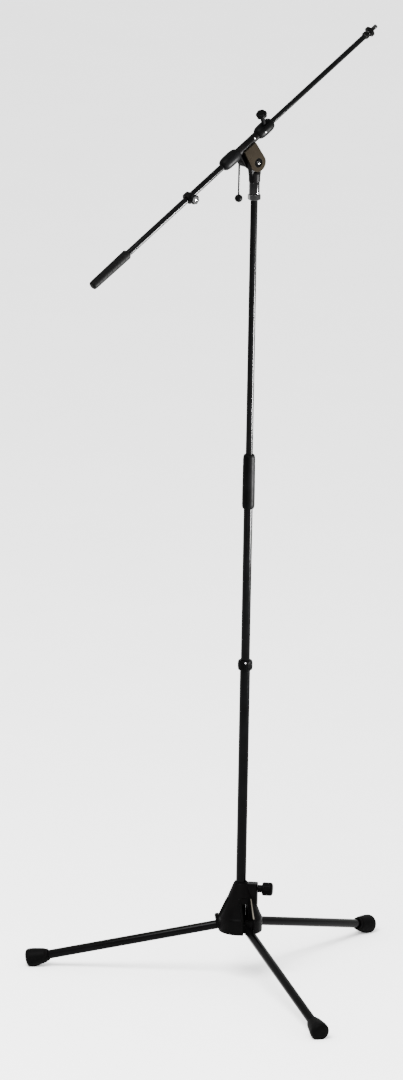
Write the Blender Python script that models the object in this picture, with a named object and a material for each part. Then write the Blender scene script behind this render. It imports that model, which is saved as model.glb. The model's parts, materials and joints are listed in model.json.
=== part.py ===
"""Boom microphone stand: folding tripod base, telescopic column, tilting boom.

Metres, +Z up.  The column stands on the world Z axis while the parts are made; at the
end the whole stand is moved so that the middle of its outline on the floor is the origin.
"""
import math

import bmesh
import bpy
from mathutils import Matrix, Vector

MM = 0.001
GAP = 0.3                     # clearance between touching pieces
ROUND = 20                    # sides of an ordinary round piece
SMALL_ROUND = 12              # sides of a screw or a pin

# Tripod base
LEG_AZIMUTHS = (171.9, 291.9, 51.9)
HINGE_RADIUS = 38.0
HINGE_HEIGHT = 124.0
FOOT_REACH = 452.0
FOOT_HEIGHT = 21.0
LEG_TUBE_RADIUS = 10.0
LEG_WALL = 1.2
SLOT_WIDTH = 22.0
SLOT_TOP = 192.0
SLOT_START = 25.0
LUG_RISE = 24.5               # stop lug on a leg fitting, above the leg's axis
LUG_START = 6.5
LUG_END = 13.6
PIN_RADIUS = 3.0
HOUSING_BOTTOM = 111.0
HOUSING_TOP = 221.0
HOUSING_RADIUS = 49.0
HOUSING_BORE = 13.6
CAVITY_TOP = 176.0
CAVITY_RADIUS = 28.0
KNOB_AZIMUTH = 352.4
KNOB_HEIGHT = 208.0
BOSS_REACH = 37.5
KNOB_END = 71.0
BOSS_HALF = 11.0
BOSS_BOTTOM = 168.0
BOSS_TOP = 220.8

# Column
BOTTOM_TUBE_RADIUS = 11.3
BOTTOM_TUBE_WALL = 1.0
BOTTOM_TUBE_START = 131.3
BOTTOM_TUBE_END = 714.5
MIDDLE_TUBE_RADIUS = 10.0
MIDDLE_TUBE_START = 470.0
MIDDLE_TUBE_END = 1160.0
TOP_TUBE_RADIUS = 8.0
TOP_TUBE_START = 990.0
TOP_TUBE_END = 1762.0
TUBE_WALL = 1.2
RING_START = 707.0
RING_END = 729.0
CLUTCH_START = 1072.0
CLUTCH_END = 1194.0
THREAD_RADIUS = 4.75          # 3/8 inch stand thread

# Swivel on top of the column
NUT_TOP = 1775.0
SLEEVE_TOP = 1802.0
STEM_TOP = 1826.0
STUD_TOP = 1796.0
NUT_FLATS = 25.0
SWIVEL_RADIUS = 12.7
WASHER_RADIUS = 16.0
PIVOT_HEIGHT = 1846.0
EAR_HALF = 7.0
EAR_RADIUS = 17.0
CHEEK_INNER = 8.3
CHEEK_OUTER = 13.6
CHEEK_RADIUS = 20.0
CHEEK_TOP = 43.0
PIVOT_BOLT_RADIUS = 4.0
HUB_END = 44.0
CLAMP_END = 60.0
TBAR_OFFSET = 54.0
TBAR_RADIUS = 2.25
TBAR_DROP = 91.0
BALL_RADIUS = 8.8
TBAR_HEAD = 5.0

# Boom
BOOM_YAW = 38.2
BOOM_RISE = 32.1
BOOM_OFFSET = 47.0
BOOM_TUBE_RADIUS = 7.2
BOOM_TUBE_BORE = 6.35
BOOM_ROD_RADIUS = 6.0
GRIP_START = -488.0
GRIP_END = -376.0
HOLDER_START = -76.0
SLEEVE_START = -26.5
SLEEVE_END = 34.0
HOLDER_END = 81.0
SLEEVE_RADIUS = 9.3
COLLAR_RADIUS = 15.0
HOLDER_KNOB_AT = 60.0
HOLDER_KNOB_TILT = 20.0
HOLDER_KNOB_OUT = 44.0
STOP_START = -190.0
STOP_END = -176.0
ROD_START = -60.0
ROD_END = 380.0
TIP_END = 419.0
RING_NUT_START = 394.0
RING_NUT_END = 402.0


def clear_scene():
    for old in list(bpy.data.objects):
        bpy.data.objects.remove(old, do_unlink=True)


def make_material(name, colour, roughness, metallic):
    material = bpy.data.materials.new(name)
    material.use_nodes = True
    shader = material.node_tree.nodes["Principled BSDF"]
    shader.inputs["Base Color"].default_value = (*colour, 1.0)
    shader.inputs["Roughness"].default_value = roughness
    shader.inputs["Metallic"].default_value = metallic
    return material


FINISHES = {
    "cast": ((0.020, 0.020, 0.021), 0.55, 0.0),
    "paint": ((0.016, 0.016, 0.017), 0.35, 0.0),
    "plastic": ((0.018, 0.018, 0.019), 0.50, 0.0),
    "rubber": ((0.014, 0.014, 0.014), 0.80, 0.0),
    "chrome": ((0.62, 0.62, 0.63), 0.12, 1.0),
    "steel": ((0.42, 0.42, 0.43), 0.35, 1.0),
    "taupe": ((0.075, 0.066, 0.052), 0.45, 0.0),
}


def azimuth(degrees):
    angle = math.radians(degrees)
    return Vector((math.cos(angle), math.sin(angle), 0.0))


def pose(origin, z_axis, x_hint=(0.0, 0.0, 1.0)):
    """Frame in millimetres whose z runs along z_axis and whose x leans to x_hint."""
    z_dir = Vector(z_axis).normalized()
    x_dir = Vector(x_hint) - Vector(x_hint).dot(z_dir) * z_dir
    if x_dir.length < 1e-6:
        x_dir = Vector((1.0, 0.0, 0.0)) - z_dir.x * z_dir
    x_dir.normalize()
    y_dir = z_dir.cross(x_dir)
    frame = Matrix((x_dir, y_dir, z_dir)).transposed().to_4x4()
    frame.translation = Vector(origin) * MM
    return frame


ROOT = None
UPRIGHT = Matrix.Identity(4)


def finish_object(name, bm, finish, place):
    """Turn a millimetre bmesh into a named, smooth shaded object in metres."""
    bmesh.ops.remove_doubles(bm, verts=bm.verts, dist=1e-4)
    bmesh.ops.scale(bm, vec=(MM, MM, MM), verts=bm.verts)
    bmesh.ops.recalc_face_normals(bm, faces=bm.faces)
    mesh = bpy.data.meshes.new(name)
    bm.to_mesh(mesh)
    bm.free()
    mesh.shade_smooth()
    mesh.set_sharp_from_angle(angle=math.radians(35.0))
    obj = bpy.data.objects.new(name, mesh)
    bpy.context.collection.objects.link(obj)
    if finish:
        mesh.materials.append(make_material(name, *FINISHES[finish]))
    obj.parent = ROOT
    obj.matrix_basis = place
    return obj


def turned(name, outline, finish, place, sides=ROUND):
    """Spin an outline of (radius, height) points; a ring outline is closed on itself."""
    bm = bmesh.new()
    verts = [bm.verts.new((radius, 0.0, height)) for radius, height in outline]
    edges = [bm.edges.new(pair) for pair in zip(verts, verts[1:])]
    if outline[0][0] > 0.0:
        edges.append(bm.edges.new((verts[-1], verts[0])))
    bmesh.ops.spin(bm, geom=verts + edges, cent=(0, 0, 0), axis=(0, 0, 1),
                   angle=math.tau, steps=sides, use_merge=True)
    return finish_object(name, bm, finish, place)


def tube_outline(outer, inner, start, end, lip=0.4):
    return [(inner, start), (outer - lip, start), (outer, start + lip),
            (outer, end - lip), (outer - lip, end), (inner, end)]


def rod_outline(radius, start, end, lip=0.4):
    return [(0.0, start), (radius - lip, start), (radius, start + lip),
            (radius, end - lip), (radius - lip, end), (0.0, end)]


def arc(centre, radius, start, end, steps):
    """Points of an arc in the outline plane, angles in degrees from the radius axis."""
    points = []
    for step in range(steps + 1):
        angle = math.radians(start + (end - start) * step / steps)
        points.append((centre[0] + radius * math.cos(angle),
                       centre[1] + radius * math.sin(angle)))
    return points


def box(name, low, high, place, finish=None):
    bm = bmesh.new()
    bmesh.ops.create_cube(bm, size=1.0)
    size = Vector(high) - Vector(low)
    bmesh.ops.scale(bm, vec=size, verts=bm.verts)
    bmesh.ops.translate(bm, vec=(Vector(high) + Vector(low)) / 2.0, verts=bm.verts)
    return finish_object(name, bm, finish, place)


def extruded(name, outline, start, end, finish, place):
    """Extrude a closed outline of (x, y) points along the frame's z axis."""
    bm = bmesh.new()
    face = bm.faces.new([bm.verts.new((x, y, start)) for x, y in outline])
    grown = bmesh.ops.extrude_face_region(bm, geom=[face])
    top = [item for item in grown["geom"] if isinstance(item, bmesh.types.BMVert)]
    bmesh.ops.translate(bm, vec=(0.0, 0.0, end - start), verts=top)
    return finish_object(name, bm, finish, place)


def combine(obj, other, operation):
    """Apply an exact Boolean of obj with other, then discard other."""
    modifier = obj.modifiers.new("shape", "BOOLEAN")
    modifier.operation = operation
    modifier.solver = "EXACT"
    modifier.object = other
    bpy.context.view_layer.update()
    evaluated = obj.evaluated_get(bpy.context.evaluated_depsgraph_get())
    mesh = bpy.data.meshes.new_from_object(evaluated)
    obj.modifiers.clear()
    obj.data = mesh
    bpy.data.objects.remove(other, do_unlink=True)
    mesh.shade_smooth()
    mesh.set_sharp_from_angle(angle=math.radians(35.0))


def drill(obj, origin, direction, radius, start, end, sides=SMALL_ROUND):
    place = pose(origin, direction)
    cutter = turned("drill", rod_outline(radius, start, end, 0.0001), None, place, sides)
    combine(obj, cutter, "DIFFERENCE")


# ---------------------------------------------------------------- tripod base

def make_housing():
    outline = [(HOUSING_BORE, HOUSING_TOP), (HOUSING_BORE, CAVITY_TOP), (CAVITY_RADIUS, CAVITY_TOP),
               (CAVITY_RADIUS, HOUSING_BOTTOM), (HOUSING_RADIUS - 1.0, HOUSING_BOTTOM),
               (HOUSING_RADIUS, HOUSING_BOTTOM + 1.0), (HOUSING_RADIUS, 138.0),
               (HOUSING_RADIUS - 0.8, 142.5), (HOUSING_RADIUS - 3.0, 146.0),
               (16.9, HOUSING_TOP - 2.0), (16.0, HOUSING_TOP)]
    housing = turned("base_housing", outline, "cast", UPRIGHT, 36)
    out = azimuth(KNOB_AZIMUTH)
    side = Vector((0, 0, 1)).cross(out)
    roof = CAVITY_TOP + 2.0
    wall = CAVITY_RADIUS + 2.0
    profile = [(16.5, -roof), (16.5, -BOSS_TOP), (BOSS_REACH, -BOSS_TOP),
               (BOSS_REACH, -BOSS_BOTTOM), (wall, -BOSS_BOTTOM), (wall, -roof)]
    boss = extruded("boss", profile, -BOSS_HALF, BOSS_HALF, None, pose((0, 0, 0), side, out))
    round_edges(boss, 3.0)
    combine(housing, boss, "UNION")
    drill(housing, (0, 0, KNOB_HEIGHT), out, 4.0 + GAP, HOUSING_BORE - 2.0, BOSS_REACH + 2.0)
    drill(housing, (0, 0, 0), (0, 0, 1), HOUSING_BORE, CAVITY_TOP - 5.0, HOUSING_TOP + 5.0, 36)
    for leg_azimuth in LEG_AZIMUTHS:
        out = azimuth(leg_azimuth)
        place = pose((0, 0, 0), (0, 0, 1), out)
        half = SLOT_WIDTH / 2.0
        slot = box("slot", (SLOT_START, -half, HOUSING_BOTTOM - 5.0), (60.0, half, SLOT_TOP), place)
        combine(housing, slot, "DIFFERENCE")
        side = Vector((0, 0, 1)).cross(out)
        hinge = out * HINGE_RADIUS + Vector((0, 0, HINGE_HEIGHT))
        drill(housing, hinge, side, PIN_RADIUS + GAP, -18.0, 18.0)
    return housing


def round_edges(obj, width):
    """Round the long edges at a block's far end along its own x axis."""
    outer = max(vert.co.x for vert in obj.data.vertices) - 0.1 * MM
    bm = bmesh.new()
    bm.from_mesh(obj.data)
    chosen = []
    for edge in bm.edges:
        start = edge.verts[0].co
        end = edge.verts[1].co
        if start.x > outer and end.x > outer and abs(start.y - end.y) > MM:
            chosen.append(edge)
    bmesh.ops.bevel(bm, geom=chosen, offset=width * MM, segments=3, profile=0.5,
                    affect="EDGES")
    bm.to_mesh(obj.data)
    bm.free()


def make_base_fittings():
    bush = [(BOTTOM_TUBE_RADIUS + GAP, CAVITY_TOP + 4.0), (HOUSING_BORE - GAP, CAVITY_TOP + 4.0),
            (HOUSING_BORE - GAP, HOUSING_TOP + GAP), (15.0, HOUSING_TOP + GAP),
            (15.0, HOUSING_TOP + 1.4), (14.4, HOUSING_TOP + 2.1),
            (BOTTOM_TUBE_RADIUS + GAP, HOUSING_TOP + 2.1)]
    turned("column_bush", bush, "plastic", UPRIGHT)
    out = azimuth(KNOB_AZIMUTH)
    place = pose((0, 0, KNOB_HEIGHT), out)
    neck_start = BOSS_REACH + 0.5
    knob = [(0.0, KNOB_END - 6.0), (4.0 + GAP, KNOB_END - 6.0), (4.0 + GAP, neck_start),
            (8.5, neck_start), (8.5, 47.0), (13.5, 48.0), (15.0, 50.0)]
    knob += arc((9.5, KNOB_END - 5.5), 5.5, 0.0, 90.0, 5)
    knob += [(0.0, KNOB_END)]
    turned("base_knob", knob, "plastic", place)
    screw = rod_outline(4.0, HOUSING_BORE + 0.2, KNOB_END - 6.0 - GAP)
    turned("base_knob_screw", screw, "steel", place, SMALL_ROUND)


def make_leg(number, leg_azimuth):
    out = azimuth(leg_azimuth)
    side = Vector((0, 0, 1)).cross(out)
    hinge = out * HINGE_RADIUS + Vector((0, 0, HINGE_HEIGHT))
    foot = out * FOOT_REACH + Vector((0, 0, FOOT_HEIGHT))
    along = (foot - hinge).normalized()
    reach = (foot - hinge).length
    place = pose(hinge, along, side)
    prefix = f"leg_{number}_"

    tube = tube_outline(LEG_TUBE_RADIUS, LEG_TUBE_RADIUS - LEG_WALL,
                        LUG_END + GAP, reach + 12.0)
    turned(prefix + "tube", tube, "paint", place)

    fitting = turned(prefix + "fitting", rod_outline(9.4, -10.0, 10.0), "cast",
                     pose(hinge, side, out))
    plug = turned("plug", rod_outline(LEG_TUBE_RADIUS - LEG_WALL - GAP, 2.0, 36.0), None,
                  place)
    combine(fitting, plug, "UNION")
    upward = along.cross(side)
    lug = box("lug", (-8.0, LUG_START, -7.5), (LUG_RISE, LUG_END, 7.5), pose(hinge, side, upward))
    round_edges(lug, 3.0)
    combine(fitting, lug, "UNION")
    drill(fitting, hinge, side, PIN_RADIUS + GAP, -12.0, 12.0)

    turned(prefix + "pin", rod_outline(PIN_RADIUS, -17.5, 17.5), "steel",
           pose(hinge, side, out), SMALL_ROUND)

    bore = LEG_TUBE_RADIUS + GAP
    start = reach - 26.0
    end = reach + 26.0
    cap = [(bore, start), (13.0, start), (14.8, start + 1.0), (15.8, start + 3.0)]
    cap += [(18.6, start + 20.0), (20.8, start + 34.0)]
    cap += [(21.4, end - 9.0), (20.2, end - 5.0), (16.0, end - 1.8), (9.0, end), (0.0, end)]
    inside = [(0.0, reach + 12.0 + GAP), (bore, reach + 12.0 + GAP)]
    outline = inside + cap
    foot_obj = turned(prefix + "foot", outline, "rubber", place)
    floor_place = Matrix.Translation(Vector((out.x, out.y, 0.0)) * FOOT_REACH * MM)
    below = box("below", (-60.0, -60.0, -60.0), (60.0, 60.0, 0.0), floor_place)
    combine(foot_obj, below, "DIFFERENCE")


# --------------------------------------------------------------------- column

def make_column():
    turned("bottom_tube",
           tube_outline(BOTTOM_TUBE_RADIUS, BOTTOM_TUBE_RADIUS - BOTTOM_TUBE_WALL,
                        BOTTOM_TUBE_START, BOTTOM_TUBE_END), "paint", UPRIGHT)
    spigot = BOTTOM_TUBE_RADIUS - BOTTOM_TUBE_WALL - GAP
    lock = [(0.0, 114.0), (22.0, 114.0), (26.4, 119.0), (26.4, 126.0), (17.0, 131.0),
            (spigot, 131.0), (spigot, 152.0), (0.0, 152.0)]
    turned("lock_plug", lock, "plastic", UPRIGHT)

    collar_bore = BOTTOM_TUBE_RADIUS + GAP
    ring = [(collar_bore, RING_START), (14.6, RING_START), (15.9, RING_START + 2.6),
            (16.5, RING_START + 7.0), (16.5, RING_END - 7.0), (15.9, RING_END - 2.6),
            (14.6, RING_END), (MIDDLE_TUBE_RADIUS + GAP + 0.1, RING_END),
            (MIDDLE_TUBE_RADIUS + GAP + 0.1, RING_END - 4.0), (13.4, RING_END - 4.0),
            (13.4, BOTTOM_TUBE_END + GAP), (collar_bore, BOTTOM_TUBE_END + GAP)]
    turned("mid_ring", ring, "plastic", UPRIGHT)
    turned("mid_collet", tube_outline(13.0, MIDDLE_TUBE_RADIUS + GAP,
                                      BOTTOM_TUBE_END + 1.0, RING_END - 5.0),
           "plastic", UPRIGHT)

    turned("middle_tube",
           tube_outline(MIDDLE_TUBE_RADIUS, MIDDLE_TUBE_RADIUS - TUBE_WALL,
                        MIDDLE_TUBE_START, MIDDLE_TUBE_END), "paint", UPRIGHT)
    make_guide("middle_guide", MIDDLE_TUBE_RADIUS, MIDDLE_TUBE_START)

    bore_low = MIDDLE_TUBE_RADIUS + GAP
    bore_top = TOP_TUBE_RADIUS + GAP + 0.1
    pocket = 11.4
    grip = [(bore_low, CLUTCH_START), (11.6, CLUTCH_START), (13.4, CLUTCH_START + 3.0),
            (14.2, CLUTCH_START + 9.0), (14.0, CLUTCH_START + 40.0),
            (13.6, CLUTCH_END - 10.0), (12.9, CLUTCH_END - 4.0), (11.0, CLUTCH_END),
            (bore_top, CLUTCH_END), (bore_top, CLUTCH_END - 6.0), (pocket, CLUTCH_END - 8.0),
            (pocket, MIDDLE_TUBE_END + GAP), (bore_low, MIDDLE_TUBE_END + GAP)]
    turned("clutch_grip", grip, "plastic", UPRIGHT)
    turned("clutch_collet", tube_outline(11.0, TOP_TUBE_RADIUS + GAP,
                                         MIDDLE_TUBE_END + 1.0, CLUTCH_END - 9.0),
           "plastic", UPRIGHT)

    turned("top_tube",
           tube_outline(TOP_TUBE_RADIUS, TOP_TUBE_RADIUS - TUBE_WALL,
                        TOP_TUBE_START, TOP_TUBE_END), "paint", UPRIGHT)
    make_guide("top_guide", TOP_TUBE_RADIUS, TOP_TUBE_START)
    inside = TOP_TUBE_RADIUS - TUBE_WALL - GAP
    stud = [(0.0, TOP_TUBE_END - 24.0), (inside, TOP_TUBE_END - 24.0), (inside, TOP_TUBE_END),
            (THREAD_RADIUS, TOP_TUBE_END), (THREAD_RADIUS, STUD_TOP), (0.0, STUD_TOP)]
    turned("top_stud", stud, "steel", UPRIGHT, SMALL_ROUND)


def make_guide(name, tube_radius, start):
    """Plastic plug in the lower end of a sliding tube, which guides it in the outer one."""
    spigot = tube_radius - TUBE_WALL - GAP
    outline = [(0.0, start - 16.0), (tube_radius - 0.8, start - 16.0),
               (tube_radius, start - 14.0), (tube_radius, start - GAP),
               (spigot, start - GAP), (spigot, start + 14.0), (0.0, start + 14.0)]
    turned(name, outline, "plastic", UPRIGHT)


# --------------------------------------------------------------------- swivel

BOOM_LEVEL = azimuth(BOOM_YAW)
FAR = Vector((0, 0, 1)).cross(BOOM_LEVEL)
RISE = math.radians(BOOM_RISE)
BOOM_DIR = BOOM_LEVEL * math.cos(RISE) + Vector((0, 0, math.sin(RISE)))
BOOM_UP = Vector((0, 0, math.cos(RISE))) - BOOM_LEVEL * math.sin(RISE)
PIVOT = Vector((0, 0, PIVOT_HEIGHT))
BOOM_ORIGIN = PIVOT + BOOM_UP * BOOM_OFFSET
ALONG_BOLT = pose(PIVOT, FAR)
ALONG_BOOM = pose(BOOM_ORIGIN, BOOM_DIR, BOOM_UP)


def hexagon(across_flats):
    corner = across_flats / math.sqrt(3.0)
    points = []
    for step in range(6):
        angle = math.radians(60.0 * step)
        points.append((corner * math.cos(angle), corner * math.sin(angle)))
    return points


def make_swivel():
    nut = extruded("lock_nut", hexagon(NUT_FLATS), TOP_TUBE_END + GAP, NUT_TOP - GAP, "chrome",
                   Matrix.Rotation(math.radians(20.0), 4, "Z"))
    drill(nut, (0, 0, 0), (0, 0, 1), THREAD_RADIUS + GAP, TOP_TUBE_END - 5.0, NUT_TOP + 5.0)

    bore = THREAD_RADIUS + GAP
    sleeve = tube_outline(11.85, bore, NUT_TOP, SLEEVE_TOP - GAP, 0.6)
    turned("swivel_sleeve", sleeve, "chrome", UPRIGHT)

    body = [(0.0, SLEEVE_TOP), (12.1, SLEEVE_TOP), (SWIVEL_RADIUS, SLEEVE_TOP + 0.8),
            (SWIVEL_RADIUS, STEM_TOP - 6.0), (11.0, STEM_TOP - 2.5), (8.0, STEM_TOP), (0.0, STEM_TOP)]
    stem = turned("swivel_stem", body, "cast", UPRIGHT)
    ear = extruded("ear", ear_outline(), -EAR_HALF, EAR_HALF, None,
                   pose(PIVOT, FAR, (0, 0, 1)))
    combine(stem, ear, "UNION")
    drill(stem, PIVOT, FAR, PIVOT_BOLT_RADIUS + GAP, -EAR_HALF - 2.0, EAR_HALF + 2.0)

    for name, start in (("near_washer", -EAR_HALF - 1.1), ("far_washer", EAR_HALF + 0.2)):
        washer = tube_outline(WASHER_RADIUS, PIVOT_BOLT_RADIUS + GAP, start, start + 0.9, 0.1)
        turned(name, washer, "plastic", ALONG_BOLT)


def ear_outline():
    """Round-ended ear in the frame whose x is up: an arc over a straight-sided foot."""
    foot = STEM_TOP - 12.0 - PIVOT_HEIGHT
    outline = arc((0.0, 0.0), EAR_RADIUS, -90.0, 90.0, 12)
    outline += [(foot, 11.0), (foot, -11.0)]
    return outline


def cheek_outline():
    """U shaped strap in the frame whose x is up along the boom's normal."""
    outline = [(CHEEK_TOP, -17.5), (CHEEK_TOP, 17.5)]
    outline += arc((0.0, 0.0), CHEEK_RADIUS, 80.0, 280.0, 14)
    return outline


def make_cheek(name, inner, outer, finish):
    cheek = extruded(name, cheek_outline(), inner, outer, finish, pose(PIVOT, FAR, BOOM_UP))
    drill(cheek, PIVOT, FAR, PIVOT_BOLT_RADIUS + GAP, inner - 2.0, outer + 2.0)
    drill(cheek, BOOM_ORIGIN, BOOM_DIR, SLEEVE_RADIUS + GAP, -30.0, 30.0, ROUND)
    return cheek


def make_cheeks_and_clamp():
    near = make_cheek("near_cheek", -CHEEK_OUTER, -CHEEK_INNER, "taupe")
    drill(near, PIVOT, FAR, 10.5, -CHEEK_OUTER - 2.0, -CHEEK_OUTER + 2.4, ROUND)
    make_cheek("far_cheek", CHEEK_INNER, CHEEK_OUTER, "cast")
    head = -CHEEK_OUTER + 2.4 - GAP
    bolt_end = HUB_END - 5.0
    bolt = [(0.0, head - 3.4), (3.0, head - 3.2), (4.6, head - 2.0), (5.0, head - 0.8),
            (5.0, head), (PIVOT_BOLT_RADIUS, head), (PIVOT_BOLT_RADIUS, bolt_end),
            (0.0, bolt_end)]
    turned("pivot_bolt", bolt, "chrome", ALONG_BOLT, SMALL_ROUND)

    bore = PIVOT_BOLT_RADIUS + GAP
    start = CHEEK_OUTER + GAP
    hub = [(0.0, HUB_END - 2.0), (bore, HUB_END - 2.0), (bore, start), (13.0, start), (15.0, start + 2.0),
           (15.0, 20.0), (17.2, 23.0), (17.2, HUB_END - 2.5), (15.2, HUB_END), (9.5, HUB_END),
           (9.0, CLAMP_END - 1.5), (7.5, CLAMP_END), (0.0, CLAMP_END)]
    hub_obj = turned("clamp_hub", hub, "cast", ALONG_BOLT)
    tbar = PIVOT + FAR * TBAR_OFFSET
    drill(hub_obj, tbar, (0, 0, 1), TBAR_RADIUS + GAP, -30.0, 30.0)
    seat = 9.5 + GAP
    turned("tbar_rod", rod_outline(TBAR_RADIUS, -TBAR_DROP, seat + TBAR_HEAD - 0.6), "steel",
           pose(tbar, (0, 0, 1)), SMALL_ROUND)
    make_ball("tbar_ball", tbar - Vector((0, 0, TBAR_DROP)), (0, 0, -1))
    head = [(TBAR_RADIUS + GAP, seat), (4.0, seat), (4.4, seat + 0.6),
            (4.4, seat + TBAR_HEAD - 0.8), (3.6, seat + TBAR_HEAD),
            (TBAR_RADIUS + GAP, seat + TBAR_HEAD)]
    turned("tbar_head", head, "steel", pose(tbar, (0, 0, 1)), SMALL_ROUND)


def make_ball(name, centre, outward):
    """Ball end of the T-bar, bored from its inner side for the bar."""
    bore = TBAR_RADIUS + GAP
    seat = math.degrees(math.asin(bore / BALL_RADIUS))
    wall = arc((0.0, 0.0), BALL_RADIUS, seat - 90.0, 90.0, 8)
    outline = [(0.0, GAP), (bore, GAP)] + wall[:-1] + [(0.0, BALL_RADIUS)]
    turned(name, outline, "chrome", pose(centre, outward), SMALL_ROUND)


# ----------------------------------------------------------------------- boom

def make_holder():
    bore = BOOM_TUBE_RADIUS + GAP
    turned("holder_sleeve", tube_outline(SLEEVE_RADIUS, bore, SLEEVE_START + GAP,
                                         SLEEVE_END - GAP), "cast", ALONG_BOOM)
    for name, start, end in (("rear_collar", HOLDER_START, SLEEVE_START),
                             ("front_collar", SLEEVE_END, HOLDER_END)):
        collar = [(bore, start), (COLLAR_RADIUS - 3.0, start), (COLLAR_RADIUS - 0.8, start + 1.4),
                  (COLLAR_RADIUS, start + 4.0), (COLLAR_RADIUS, end - 4.0),
                  (COLLAR_RADIUS - 0.8, end - 1.4), (COLLAR_RADIUS - 3.0, end), (bore, end)]
        piece = turned(name, collar, "plastic", ALONG_BOOM)
        if name == "front_collar":
            drill(piece, knob_origin(), knob_direction(), 3.0 + GAP, 4.0, 24.0)
    place = pose(knob_origin(), knob_direction())
    half = 6.0
    start = HOLDER_KNOB_OUT - half
    end = HOLDER_KNOB_OUT + half
    neck = COLLAR_RADIUS + 0.6
    seat = end - 5.0
    knob = [(0.0, seat), (3.0 + GAP, seat), (3.0 + GAP, neck), (5.0, neck), (5.0, start - 4.0),
            (9.0, start - 0.5), (11.8, start + 1.4), (12.6, start + 4.0), (12.6, seat),
            (11.0, end - 1.6), (8.0, end), (0.0, end)]
    turned("holder_knob", knob, "plastic", place)
    screw = rod_outline(3.0, BOOM_TUBE_RADIUS + GAP, seat - GAP)
    turned("holder_knob_screw", screw, "steel", place, SMALL_ROUND)


def knob_origin():
    return BOOM_ORIGIN + BOOM_DIR * HOLDER_KNOB_AT


def knob_direction():
    tilt = math.radians(HOLDER_KNOB_TILT)
    return BOOM_UP * math.cos(tilt) - FAR * math.sin(tilt)


def make_boom():
    turned("boom_tube", tube_outline(BOOM_TUBE_RADIUS, BOOM_TUBE_BORE, GRIP_START + 12.0,
                                     HOLDER_END + 2.0), "paint", ALONG_BOOM)
    bore = BOOM_TUBE_RADIUS + GAP
    grip = [(0.0, GRIP_START), (7.0, GRIP_START), (9.2, GRIP_START + 1.5),
            (9.9, GRIP_START + 5.0), (10.6, GRIP_START + 55.0), (11.2, GRIP_END - 5.0),
            (10.6, GRIP_END - 1.5), (9.2, GRIP_END), (bore, GRIP_END),
            (bore, GRIP_START + 12.0 - GAP), (0.0, GRIP_START + 12.0 - GAP)]
    turned("boom_grip", grip, "plastic", ALONG_BOOM)

    middle = (STOP_START + STOP_END) / 2.0
    ring = tube_outline(13.2, bore, STOP_START, STOP_END, 1.6)
    stop = turned("stop_ring", ring, "cast", ALONG_BOOM)
    screw_origin = BOOM_ORIGIN + BOOM_DIR * middle
    drill(stop, screw_origin, -FAR, 2.5 + GAP, 5.0, 20.0)
    place = pose(screw_origin, -FAR)
    knob = [(2.5 + GAP, 14.0), (5.0, 14.0), (5.5, 16.5), (9.6, 17.5), (11.0, 19.0),
            (11.0, 23.5), (9.0, 25.0), (2.5 + GAP, 25.0)]
    turned("stop_knob", knob, "plastic", place)
    turned("stop_screw", rod_outline(2.5, bore, 25.6), "steel", place, SMALL_ROUND)

    turned("boom_rod", tube_outline(BOOM_ROD_RADIUS, BOOM_ROD_RADIUS - 1.0, ROD_START, ROD_END),
           "paint", ALONG_BOOM)
    inside = BOOM_ROD_RADIUS - 1.0 - GAP
    boss_start = ROD_END + GAP
    tip = [(0.0, ROD_END - 20.0), (inside, ROD_END - 20.0), (inside, boss_start),
           (7.2, boss_start), (8.0, boss_start + 1.0), (8.0, boss_start + 8.0),
           (7.2, boss_start + 9.5), (THREAD_RADIUS, boss_start + 9.5),
           (THREAD_RADIUS, TIP_END - 0.8), (THREAD_RADIUS - 0.8, TIP_END), (0.0, TIP_END)]
    turned("tip_stud", tip, "chrome", ALONG_BOOM)
    turned("ring_nut", tube_outline(12.0, THREAD_RADIUS + GAP, RING_NUT_START, RING_NUT_END, 1.2),
           "cast", ALONG_BOOM)


def stand_on_origin():
    """Move the stand so that the middle of its outline on the floor is the origin."""
    bpy.context.view_layer.update()
    corners = []
    for obj in ROOT.children:
        corners += [obj.matrix_world @ vert.co for vert in obj.data.vertices]
    low = Vector([min(corner[axis] for corner in corners) for axis in range(3)])
    high = Vector([max(corner[axis] for corner in corners) for axis in range(3)])
    ROOT.location = (-(low.x + high.x) / 2.0, -(low.y + high.y) / 2.0, -low.z)
    bpy.context.view_layer.update()


clear_scene()
ROOT = bpy.data.objects.new("stand", None)
bpy.context.collection.objects.link(ROOT)
make_housing()
make_base_fittings()
for leg_number, leg_azimuth_deg in enumerate(LEG_AZIMUTHS, 1):
    make_leg(leg_number, leg_azimuth_deg)
make_column()
make_swivel()
make_cheeks_and_clamp()
make_holder()
make_boom()
stand_on_origin()
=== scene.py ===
"""Looks of the boom microphone stand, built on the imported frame.

Sizes are in millimetres until finish_piece scales them; places come from the frame's
joints.  Every round piece is a turned outline with rounded corners, and an "edge"
attribute marks the corners so that the materials can show a little wear there.
"""
import json
import math

import bmesh
import bpy
from mathutils import Matrix, Vector


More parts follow.
